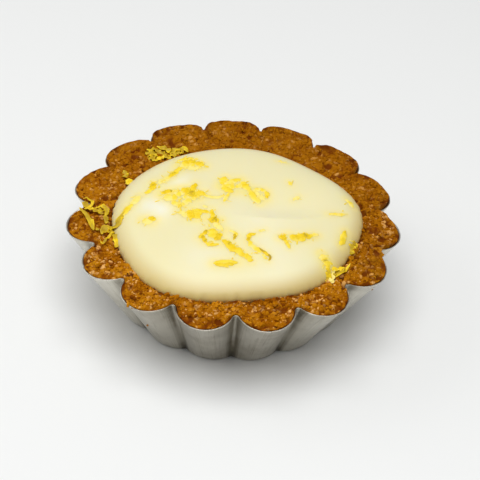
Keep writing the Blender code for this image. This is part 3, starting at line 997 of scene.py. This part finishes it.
# Width, tone and points of each shred on the cream.
CREAM_ROWS = (
    # Clump at the back left, and the strand that runs down from it.
    (1.7, FAINT, (-11.6, 12.0), (-9.8, 11.4), (-8.2, 11.9)),
    (2.2, SOFT, (-13.2, 12.6), (-11.4, 13.0), (-9.6, 12.6)),
    (1.4, WARM, (-13.4, 15.4), (-12.0, 16.0), (-10.2, 15.8)),
    (2.3, DEEP, (-12.8, 13.8), (-11.2, 14.3), (-9.6, 13.8)),
    (1.5, DEEP, (-10.0, 14.2), (-8.7, 13.4), (-7.7, 12.5)),
    (1.0, SOFT, (-12.6, 14.8), (-11.0, 15.4), (-9.6, 15.2)),
    (1.3, WARM, (-12.4, 12.2), (-13.4, 10.6), (-14.4, 9.0), (-15.4, 7.4)),
    (1.2, DEEP, (-14.0, 9.8), (-14.9, 8.2)),
    (1.6, FAINT, (-15.0, 8.0), (-16.4, 6.4), (-17.8, 5.4)),
    (1.0, SOFT, (-16.0, 6.6), (-17.2, 5.6)),
    (1.3, DEEP, (-19.0, 6.0), (-18.8, 4.6), (-18.4, 3.0)),
    (1.1, WARM, (-18.4, 3.4), (-19.4, 2.6), (-20.3, 1.5)),
    # Left of the middle.
    (2.6, FAINT, (-15.8, 0.2), (-13.8, 1.2), (-12.2, 0.4)),
    (2.2, SOFT, (-15.6, 0.7), (-14.4, -0.5), (-13.0, 0.0)),
    (1.6, SOFT, (-11.8, -0.2), (-10.2, 0.1), (-8.6, -0.3)),
    (1.8, SOFT, (-14.2, 1.6), (-12.8, 0.8), (-11.4, 1.8)),
    (1.3, DEEP, (-16.7, 1.3), (-15.5, 1.7), (-14.2, 2.1)),
    (2.1, DEEP, (-12.2, 2.8), (-10.8, 2.0), (-9.4, 0.8), (-8.2, 0.6)),
    (1.2, DEEP, (-9.2, 5.0), (-9.5, 3.2), (-9.8, 1.0)),
    (1.4, WARM, (-11.2, 3.2), (-10.2, 1.4), (-10.6, -0.4)),
    (1.7, WARM, (-9.8, 0.6), (-8.3, 1.5), (-6.6, 1.5)),
    (1.4, SOFT, (-10.2, 0.4), (-10.5, -1.2), (-11.2, -2.6)),
    (1.4, SOFT, (-14.0, -1.4), (-12.8, -2.9), (-10.9, -2.9)),
    (1.3, WARM, (-12.7, -3.1), (-11.7, -3.4)),
    (0.8, SOFT, (-7.4, 1.1), (-5.4, 0.5), (-3.6, 0.6), (-2.4, 1.7)),
    (1.5, FAINT, (-12.4, -5.2), (-11.2, -5.8), (-10.2, -6.8)),
    (1.8, DEEP, (-9.5, -4.6), (-9.7, -6.0), (-8.9, -7.3)),
    (1.7, WARM, (-8.8, -4.8), (-8.1, -6.2), (-7.6, -7.2)),
    (1.2, WARM, (-9.4, -4.5), (-7.5, -4.6), (-5.6, -5.2)),
    (0.7, FAINT, (-7.2, -2.7), (-5.9, -3.1)),
    (0.9, WARM, (-4.9, -3.8), (-4.9, -5.4), (-4.5, -7.0)),
    (1.9, DEEP, (-5.2, -6.8), (-4.3, -7.6), (-3.2, -7.4)),
    (1.4, FAINT, (-4.4, -8.4), (-3.6, -9.4), (-2.2, -10.3)),
    (1.6, FAINT, (-20.2, -7.6), (-19.0, -8.5), (-17.9, -8.9)),
    (1.2, DEEP, (-19.0, -7.2), (-18.0, -7.5), (-17.1, -7.9)),
    # Behind the middle.
    (1.6, WARM, (-2.5, 8.4), (-2.7, 6.9), (-3.3, 5.4)),
    (1.3, SOFT, (-3.2, 5.8), (-1.9, 5.9), (-0.5, 7.3), (1.0, 8.1)),
    (1.4, SOFT, (-0.8, 6.4), (-1.1, 4.6), (-1.8, 3.4)),
    (1.2, SOFT, (-3.6, 4.4), (-2.2, 5.2), (-0.4, 5.4)),
    (1.9, FAINT, (2.6, 3.4), (4.0, 3.6), (5.6, 3.2)),
    (1.6, WARM, (-2.8, 4.6), (-1.4, 3.3), (-0.4, 3.0)),
    (0.9, SOFT, (-1.4, 2.8), (-2.1, 0.9), (-2.4, -0.9)),
    (1.1, SOFT, (-0.2, 4.8), (0.9, 5.4), (1.8, 6.4)),
    (1.5, WARM, (1.3, 7.0), (2.1, 5.6), (3.2, 4.2)),
    (1.7, SOFT, (3.0, 4.3), (4.1, 2.6), (5.0, 1.2), (5.5, 0.1)),
    (1.1, SOFT, (4.2, 4.8), (5.6, 4.9), (6.9, 4.5)),
    (1.0, WARM, (6.7, 4.4), (7.4, 3.3), (6.8, 2.3)),
    (1.5, FAINT, (5.0, 2.4), (6.8, 1.9)),
    # In front of the middle: hooks and the long thick shred.
    (0.9, DEEP, (-5.7, -10.9), (-6.4, -12.3), (-7.3, -13.9)),
    (0.9, OLIVE_SHADE, (-6.6, -12.8), (-6.2, -14.2), (-5.5, -15.2)),
    (1.0, WARM, (-5.8, -15.3), (-4.4, -15.8), (-2.8, -15.5)),
    (1.9, WARM, (-4.7, -10.4), (-4.5, -12.2), (-3.9, -13.6)),
    (1.5, DEEP, (-3.8, -14.2), (-3.1, -12.9), (-2.5, -11.8)),
    (1.3, DEEP, (-2.3, -14.3), (-1.1, -14.5), (-0.1, -15.6)),
    (1.7, DEEP, (-1.3, -14.8), (0.4, -16.4), (2.0, -17.4), (3.3, -18.3)),
    (1.4, WARM, (2.9, -17.9), (3.8, -18.8), (4.4, -20.0)),
    (0.8, SOFT, (-0.8, -10.7), (0.3, -11.2), (1.1, -12.3)),
    (0.6, OLIVE_SHADE, (0.5, -11.6), (0.5, -12.7), (0.3, -13.8)),
    (1.0, DEEP, (5.1, -11.3), (4.1, -11.6), (3.5, -12.5), (3.4, -13.9)),
    (1.2, SOFT, (3.5, -13.7), (4.3, -15.0), (5.4, -16.2), (6.7, -17.0)),
    (0.6, OLIVE_SHADE, (5.6, -15.6), (7.4, -16.9), (8.7, -18.0), (8.2, -19.2)),
    (0.7, SOFT, (6.8, -17.4), (7.8, -18.9)),
    (0.7, FAINT, (5.6, -10.5), (7.2, -10.1)),
    (1.2, WARM, (-3.8, -21.1), (-1.4, -20.7), (1.6, -20.5)),
    (1.2, DEEP, (-3.4, -21.5), (-1.2, -21.4), (0.9, -21.0)),
    # Right of the middle.
    (1.4, DEEP, (10.2, -12.2), (11.1, -11.7), (11.9, -12.4)),
    (0.8, WARM, (11.6, -12.4), (12.1, -13.6), (12.8, -15.0)),
    (1.7, DEEP, (12.6, -10.9), (14.2, -11.4), (15.6, -10.6), (17.6, -9.9)),
    (1.1, WARM, (12.6, -11.6), (14.4, -12.0), (16.2, -11.4)),
    (1.0, SOFT, (17.2, -9.9), (19.0, -9.2)),
    (0.8, FAINT, (13.0, 2.4), (14.4, 4.0)),
    (0.9, SOFT, (12.1, 8.8), (12.5, 7.4)),
    (0.9, FAINT, (9.2, 17.3), (11.6, 16.9)),
    (1.1, SOFT, (21.2, -1.6), (23.2, -1.0), (25.0, -0.2)),
    (1.2, SOFT, (25.2, 5.8), (26.2, 4.6), (27.0, 3.4)),
    (1.2, WARM, (25.0, -5.6), (24.7, -7.7), (24.3, -9.1), (23.9, -10.6)),
    (0.9, DEEP, (24.5, -7.9), (24.3, -9.3)),
    (0.6, OLIVE_SHADE, (24.9, -6.0), (24.8, -7.2)),
    (2.0, SOFT, (19.9, -14.8), (20.6, -16.0), (21.2, -17.4)),
    (1.3, DEEP, (20.5, -15.6), (21.0, -16.8)),
    (1.0, WARM, (21.1, -16.8), (21.3, -18.4)),
    # The shred that runs off the left edge.
    (1.5, FAINT, (-21.6, 1.2), (-22.4, -0.6), (-23.2, -2.2)),
    (1.4, WARM, (-22.9, -1.6), (-24.0, -3.4), (-25.1, -5.4)),
)
# Width, tone, how far it hangs free, and points of each shred on the crust.
CRUST_ROWS = (
    # The tangle at the left.
    (0.82, DULL, 0.5, (-34.9, -0.4), (-33.9, -1.9), (-33.0, -3.1), (-32.3, -4.8), (-31.5, -6.7),
     (-30.9, -8.6)),
    (0.6, DEEP, 0.5, (-34.4, 2.2), (-33.4, 2.4), (-32.3, 1.9), (-32.1, 0.8), (-32.7, -0.2), (-33.6, -0.1)),
    (1.0, OLIVE_SHADE, 0.1, (-34.5, 1.5), (-33.5, 0.9), (-32.7, 0.2)),
    (0.5, DULL, 0.4, (-33.9, 1.6), (-34.2, 0.6), (-33.6, -0.4), (-32.8, -0.6)),
    (0.72, DEEP, 0.4, (-33.9, -0.5), (-33.1, -0.8), (-32.1, -1.3), (-31.4, -0.7), (-30.5, -0.5)),
    (0.95, DEEP, 0.4, (-30.9, -0.3), (-29.9, 0.1), (-29.0, -0.6), (-28.6, -1.8), (-28.8, -3.0)),
    (0.85, DULL, 0.3, (-31.8, -2.0), (-30.9, -1.7), (-30.2, -1.0), (-29.3, -0.9)),
    (0.7, DEEP, 0.4, (-31.2, -0.9), (-30.4, -1.9), (-29.4, -2.3)),
    (0.85, OLIVE_SHADE, 0.3, (-29.1, -2.4), (-28.6, -4.2), (-28.5, -5.8)),
    (1.3, DULL, 0.3, (-28.8, -9.7), (-29.2, -8.3), (-28.2, -7.5), (-27.0, -7.2), (-26.0, -7.6),
     (-25.4, -6.6), (-25.0, -5.2), (-24.3, -4.0)),
    (0.8, DEEP, 0.4, (-28.6, -8.2), (-27.6, -7.7), (-26.6, -7.8)),
    (0.46, DEEP, 0.5, (-28.9, -9.2), (-28.0, -8.6), (-27.0, -8.4), (-26.2, -9.3)),
    (0.5, DEEP, 0.7, (-29.1, -12.3), (-28.5, -13.3), (-28.0, -12.5), (-27.6, -10.9), (-27.1, -9.7),
     (-26.3, -9.0)),
    (1.25, DEEP, 0.2, (-26.5, -8.7), (-25.8, -10.4), (-25.4, -12.2), (-25.3, -13.8)),
    (0.6, DULL, 0.2, (-30.6, -7.6), (-29.8, -8.1)),
    # Beside the cream's back left.
    (1.20, DULL, 0.3, (-26.0, 13.8), (-25.6, 12.6), (-25.4, 11.2)),
    (1.53, WARM, 0.1, (-25.2, 11.0), (-24.5, 9.9), (-23.8, 9.2)),
    (1.20, DEEP, 0.4, (-21.4, 22.6), (-20.4, 21.8), (-19.4, 21.2), (-18.8, 20.0)),
    (1.30, DULL, 0.3, (-21.8, 21.4), (-20.6, 20.6), (-19.2, 19.6)),
    (1.20, DEEP, 0.2, (-20.8, 19.6), (-19.8, 19.0), (-18.6, 18.8)),
    (1.20, DULL, 0.2, (-17.6, 21.2), (-16.6, 20.2), (-15.6, 19.9)),
    (1.10, OLIVE_SHADE, 0.3, (-20.6, 22.8), (-19.4, 22.6), (-18.2, 22.0)),
    (1.20, DULL, 0.4, (-20.0, 21.2), (-18.9, 20.5), (-17.8, 21.0), (-17.4, 22.4)),
    (1.04, DULL, 0.4, (-19.2, 23.0), (-17.8, 23.5), (-16.5, 22.8), (-16.6, 21.4)),
    (1.04, WARM, 0.2, (-18.4, 18.8), (-18.1, 19.9), (-17.2, 20.6)),
    (1.31, DULL, 0.4, (-15.9, 21.4), (-15.0, 22.4), (-13.9, 23.6), (-12.6, 23.7), (-11.9, 22.7)),
    (1.20, OLIVE_SHADE, 0.2, (-15.2, 20.6), (-14.9, 21.9), (-13.8, 22.4)),
    (1.20, DULL, 0.3, (-14.2, 22.3), (-12.8, 22.6)),
    (1.10, DEEP, 0.3, (-16.4, 20.6), (-15.4, 20.9), (-14.0, 21.4)),
    # At the right.
    (1.4, DULL, 0.2, (27.0, -8.1), (26.5, -9.4), (26.2, -11.1)),
    (1.0, OLIVE_SHADE, 0.2, (27.2, -7.2), (26.8, -8.6)),
    (0.5, WARM, 0.6, (27.9, -7.6), (27.4, -8.9), (26.8, -10.6)),
    (1.2, DEEP, 0.2, (21.3, -18.0), (21.4, -19.4), (21.2, -20.6)),
    (1.0, PITH, 0.3, (22.5, -17.3), (22.3, -19.2), (21.9, -21.2)),
    (0.9, PITH, 0.3, (22.0, -20.2), (22.5, -21.2)),
    (1.2, WARM, 0.3, (22.2, -17.9), (23.3, -16.7), (24.2, -16.3), (25.2, -16.0)),
    (0.9, DULL, 0.3, (22.6, -18.8), (23.4, -18.0), (24.3, -17.3)),
    (0.5, DEEP, 0.4, (23.7, -18.3), (24.5, -17.3), (25.2, -16.1)),
    (0.5, WARM, 0.6, (26.3, -14.3), (25.7, -16.0), (24.8, -17.5), (23.8, -18.6), (23.1, -19.6)),
)
CREAM_SHREDS = [Shred(path, width, tone) for width, tone, *path in CREAM_ROWS]
CRUST_SHREDS = [Shred(path, width, tone, free) for width, tone, free, *path in CRUST_ROWS]
# A shred's sections along it and corners round it, and those of a fleck, which is narrower than this.
SHRED_GRID, FLECK_GRID, FLECK_WIDTH = (36, 14), (14, 8), 0.45
SHRED_KNOTS = 8
# Torn bits round the shreds: how many, what share of them are fibres still joined to their shred, and
# how far the loose flecks lie from theirs, in millimetres.
FLECKS, FIBRES, FLECK_SCATTER = 300, 0.6, 0.4


def lying_height(settings, x, y):
    """Height of what a shred lies on: the cream inside its edge and the crust outside."""
    cream_height, share = cream_top(settings.cream, x, y)
    crust_height = crust_level(settings, x, y) + 0.25 * MM
    return np.where(share < 1, np.maximum(cream_height, crust_height), crust_height)


def wander(rng, sections, amount):
    """Numbers that change softly along a shred."""
    knots = np.linspace(0, 1, SHRED_KNOTS)
    return amount * softened(np.interp(np.linspace(0, 1, sections), knots, rng.normal(0, 1, SHRED_KNOTS)))


def shred_grid(shred):
    return FLECK_GRID if shred.width < FLECK_WIDTH else SHRED_GRID


def shred_path(shred):
    """Evenly spaced points along a soft curve through the shred's own points, in metres."""
    knots = np.array(shred.path) * MM
    for _ in range(2 if len(knots) > 2 else 0):
        # Cutting the corners twice softens the path and keeps its ends.
        near, far = knots[:-1], knots[1:]
        cut = np.stack([mix(near, far, 0.25), mix(near, far, 0.75)], axis=1).reshape(-1, 2)
        knots = np.concatenate([knots[:1], cut[1:-1], knots[-1:]])
    steps = np.concatenate([[0], np.cumsum(np.hypot(*np.diff(knots, axis=0).T))])
    even = np.linspace(0, steps[-1], shred_grid(shred)[0])
    return np.interp(even, steps, knots[:, 0]), np.interp(even, steps, knots[:, 1])


def ribbon(settings, shred, rng):
    """Points of one shred section by section, its tone at each, and how near each is to its thin edge."""
    zest = settings.zest
    sections, corners = shred_grid(shred)
    share = np.linspace(-1, 1, sections)
    x, y = shred_path(shred)
    way = np.arctan2(np.gradient(y), np.gradient(x))
    sway = wander(rng, sections, 0.09 * shred.width * MM)
    x, y = x - sway * np.sin(way), y + sway * np.cos(way)

    half = np.sqrt(np.maximum(1.03 - np.abs(share) ** 2.4, 0)) * shred.width * 1.15 * MM / 2
    teeth = rng.normal(0, 0.1, (2, sections))
    left, right = (half * (1 + wander(rng, sections, 0.16) + side) for side in teeth)
    sunk = 1 - 0.65 * smooth_step(shred.tone, 0.5, 1)
    thick = zest.thickness * sunk * min(0.6 + 0.3 * shred.width, 1.2)
    thick = thick * (1 - 0.6 * np.abs(share) ** 3) * (1 + wander(rng, sections, 0.2))

    turn = np.arange(corners) * 2 * pi / corners
    across = np.cos(turn) * np.where(np.cos(turn) > 0, left[:, None], right[:, None])
    px = x[:, None] - across * np.sin(way)[:, None]
    py = y[:, None] + across * np.cos(way)[:, None]
    ridges = 1 + 0.2 * np.sin(5 * np.cos(turn) + 6 * wander(rng, sections, 1)[:, None])
    # A free shred is a strip with blunt edges, and a lying one thins out to its edges.
    bluntness = 0.8 if shred.free else 1.5
    crown = np.where(np.sin(turn) > 0, np.abs(np.sin(turn)) ** bluntness * ridges, 0.5 * np.sin(turn))
    crown = crown * thick[:, None]

    # A lying shred follows what it lies on; a free one arches over it and rolls a little.
    lying = lying_height(settings, px, py)
    loose = lying_height(settings, x, y)
    for _ in range(4):
        loose = np.maximum(loose, softened(loose))
    arch = (shred.free * MM * (0.7 + wander(rng, sections, 0.5)))[:, None]
    arch = arch + across * np.tan(wander(rng, sections, 0.35))[:, None]
    free = min(shred.free / 0.3, 1)
    base = mix(lying, loose[:, None] + arch, free) if shred.free else lying
    points = np.stack([px, py, base + crown - 0.02 * MM], axis=-1)
    # Painted shade: peel on the crust gets a lower tone.
    shade_drop = CRUST_PEEL_SHADE if shred.free else 0
    tone = np.broadcast_to(shred.tone - shade_drop + wander(rng, sections, 0.14)[:, None], across.shape)
    thin = np.broadcast_to(np.maximum(np.abs(np.cos(turn)), np.abs(share)[:, None] ** 3), across.shape)
    return points, tone, thin


def zest_finish(zest):
    finish = Finish("grated_peel")
    place = finish.place()
    speckle = finish.noise(place, 1600.0, 2.0, 0.6)
    fine = finish.noise(place, 5000.0, 2.0, 0.6)
    tone = finish.attribute("tone") + 0.4 * finish.attribute("thin") ** 3 + 0.36 * (speckle - 0.5)
    # The lowest tones are painted shade: the crust peel's shade, then the olive shade.
    shaded_peel = finish.mix(finish.fit(tone, -0.35, 0.0), zest.old, zest.olive)
    dull = finish.mix(finish.fit(tone, 0.0, 0.25), shaded_peel, zest.deep)
    peel = finish.mix(finish.fit(tone, 0.25, 0.6), dull, zest.yellow)
    colour = finish.mix(finish.fit(tone, 0.6, 1.1), peel, zest.faint)
    finish.set(
        Base_Color=colour,
        Roughness=0.4 + 0.2 * speckle,
        Specular_IOR_Level=0.3,
        Subsurface_Weight=0.2,
        Subsurface_Radius=(1.0, 0.9, 0.5),
        Subsurface_Scale=0.3 * MM,
        Normal=finish.bump(speckle + 0.5 * fine, 0.07 * MM, 0.6),
    )
    return finish.material


def shred_mesh(name, settings, shreds, rng, material):
    points, faces, tones, edges = [], [], [], []
    start = 0
    for shred in shreds:
        places, tone, thin = ribbon(settings, shred, rng)
        points.append(places.reshape(-1, 3))
        sections, corners = shred_grid(shred)
        faces += tube_faces(start, sections, corners)
        faces.append([*range(start + corners - 1, start - 1, -1)])
        faces.append([*range(start + (sections - 1) * corners, start + sections * corners)])
        tones.append(tone.ravel())
        edges.append(thin.ravel())
        start += tone.size
    numbers = {"tone": np.concatenate(tones), "thin": np.concatenate(edges)}
    return mesh_object(name, np.concatenate(points), faces, material, numbers)


def torn_flecks(rng):
    """Torn fibres that stick out of the shreds on the cream, and flecks that lie loose beside them."""
    flecks = []
    # The broad shreds are the most torn.
    torn = np.array([shred.width for shred in CREAM_SHREDS]) ** 3
    for number in rng.choice(len(CREAM_SHREDS), FLECKS, p=torn / torn.sum()):
        shred = CREAM_SHREDS[number]
        spot = rng.integers(shred_grid(shred)[0])
        middle = np.array(shred_path(shred))[:, spot] / MM
        way, turn = rng.uniform(0, 2 * pi), rng.normal(0, 0.5)
        if rng.uniform() < FIBRES:
            start, length, width = 0.3 * shred.width, rng.uniform(0.6, 1.5), rng.uniform(0.16, 0.3)
        else:
            start = 0.5 * shred.width + rng.exponential(FLECK_SCATTER)
            length, width = rng.uniform(0.4, 1.3), rng.uniform(0.22, 0.42)
        near = middle + start * np.array([cos(way), sin(way)])
        half_way = near + length / 2 * np.array([cos(way), sin(way)])
        far = half_way + length / 2 * np.array([cos(way + turn), sin(way + turn)])
        flecks.append(Shred((near, half_way, far), width, mix(shred.tone, rng.uniform(WARM, FAINT), 0.75)))
    return flecks


class BuildZest(bpy.types.Operator):
    """Lay the shreds of zest on the cream and on the crust"""

    bl_idname = "tartlet.zest"
    bl_label = "Lemon Zest"

    def execute(self, context):
        settings = context.scene.tartlet
        rng = np.random.default_rng(11)
        material = zest_finish(settings.zest)
        for name, shreds in (
            ("zest_on_cream", CREAM_SHREDS),
            ("zest_flecks", torn_flecks(rng)),
            ("zest_on_crust", CRUST_SHREDS),
        ):
            settle(shred_mesh(name, settings, shreds, rng, material), "lemon_zest")
        return {"FINISHED"}


# ---------------- stage


class BuildStage(bpy.types.Operator):
    """Set the floor, the light and the camera"""

    bl_idname = "tartlet.stage"
    bl_label = "Stage"

    def execute(self, context):
        scene = context.scene
        stage = scene.tartlet.stage
        scene.view_settings.view_transform = "Standard"

        finish = Finish("pale_floor")
        finish.set(Base_Color=stage.floor, Roughness=0.55, Specular_IOR_Level=0.3)
        reach = 3.0
        corners = [(-reach, -reach, 0), (reach, -reach, 0), (reach, reach, 0), (-reach, reach, 0)]
        mesh_object("floor", corners, [(0, 1, 2, 3)], finish.material)

        world = bpy.data.worlds.new("pale_room")
        world.use_nodes = True
        background = world.node_tree.nodes["Background"]
        background.inputs["Color"].default_value = (1, 1, 1, 1)
        background.inputs["Strength"].default_value = stage.sky
        scene.world = world

        self.add_light(scene, "overhead", (0.0, -0.09, 0.56), (0.5, 0.5), stage.key)
        self.add_light(scene, "window", (-0.46, 0.1, 0.3), (0.4, 0.3), stage.window)

        camera = bpy.data.objects.new("camera", bpy.data.cameras.new("camera"))
        scene.collection.objects.link(camera)
        camera.data.lens = stage.lens
        camera.data.clip_start = 0.01
        tilt = Matrix.Rotation(pi / 2 - stage.pitch, 4, "X")
        lean = Matrix.Rotation(stage.roll, 4, "Z")
        back = tilt @ Vector((0, 0, stage.distance))
        camera.matrix_world = Matrix.Translation(Vector(stage.aim) + back) @ tilt @ lean
        scene.camera = camera
        return {"FINISHED"}

    def add_light(self, scene, name, place, size, power):
        lamp = bpy.data.lights.new(name, "AREA")
        lamp.shape = "RECTANGLE"
        lamp.size, lamp.size_y = size
        lamp.energy = power
        light = bpy.data.objects.new(name, lamp)
        light.location = place
        light.rotation_mode = "QUATERNION"
        light.rotation_quaternion = (-Vector(place)).to_track_quat("-Z", "Y")
        scene.collection.objects.link(light)


# ---------------- add-on

BUILDERS = (BuildStage, BuildTin, BuildCrust, BuildCream, BuildZest, BuildCrumbs)


class TartletPanel(bpy.types.Panel):
    """Lists the tartlet's pieces and their settings"""

    bl_idname = "VIEW3D_PT_tartlet"
    bl_label = "Lemon Tartlet"
    bl_space_type = "VIEW_3D"
    bl_region_type = "UI"
    bl_category = "Tartlet"

    def draw(self, context):
        settings = context.scene.tartlet
        for builder in BUILDERS:
            self.layout.operator(builder.bl_idname)
        for group in (settings.tin, settings.crust, settings.cream, settings.zest, settings.stage):
            box = self.layout.box()
            for name in group.__annotations__:
                box.prop(group, name, text=name.replace("_", " ").title())


CLASSES = (
    TinSettings,
    CrustSettings,
    CreamSettings,
    ZestSettings,
    StageSettings,
    TartletSettings,
    *BUILDERS,
    TartletPanel,
)


def register():
    for item in CLASSES:
        bpy.utils.register_class(item)
    bpy.types.Scene.tartlet = PointerProperty(type=TartletSettings)


def unregister():
    del bpy.types.Scene.tartlet
    for item in reversed(CLASSES):
        bpy.utils.unregister_class(item)


def main():
    register()
    bpy.ops.tartlet.stage()
    bpy.ops.tartlet.tin()
    bpy.ops.tartlet.crust()
    bpy.ops.tartlet.cream()
    bpy.ops.tartlet.zest()
    bpy.ops.tartlet.crumbs()


if __name__ == "__main__":
    main()
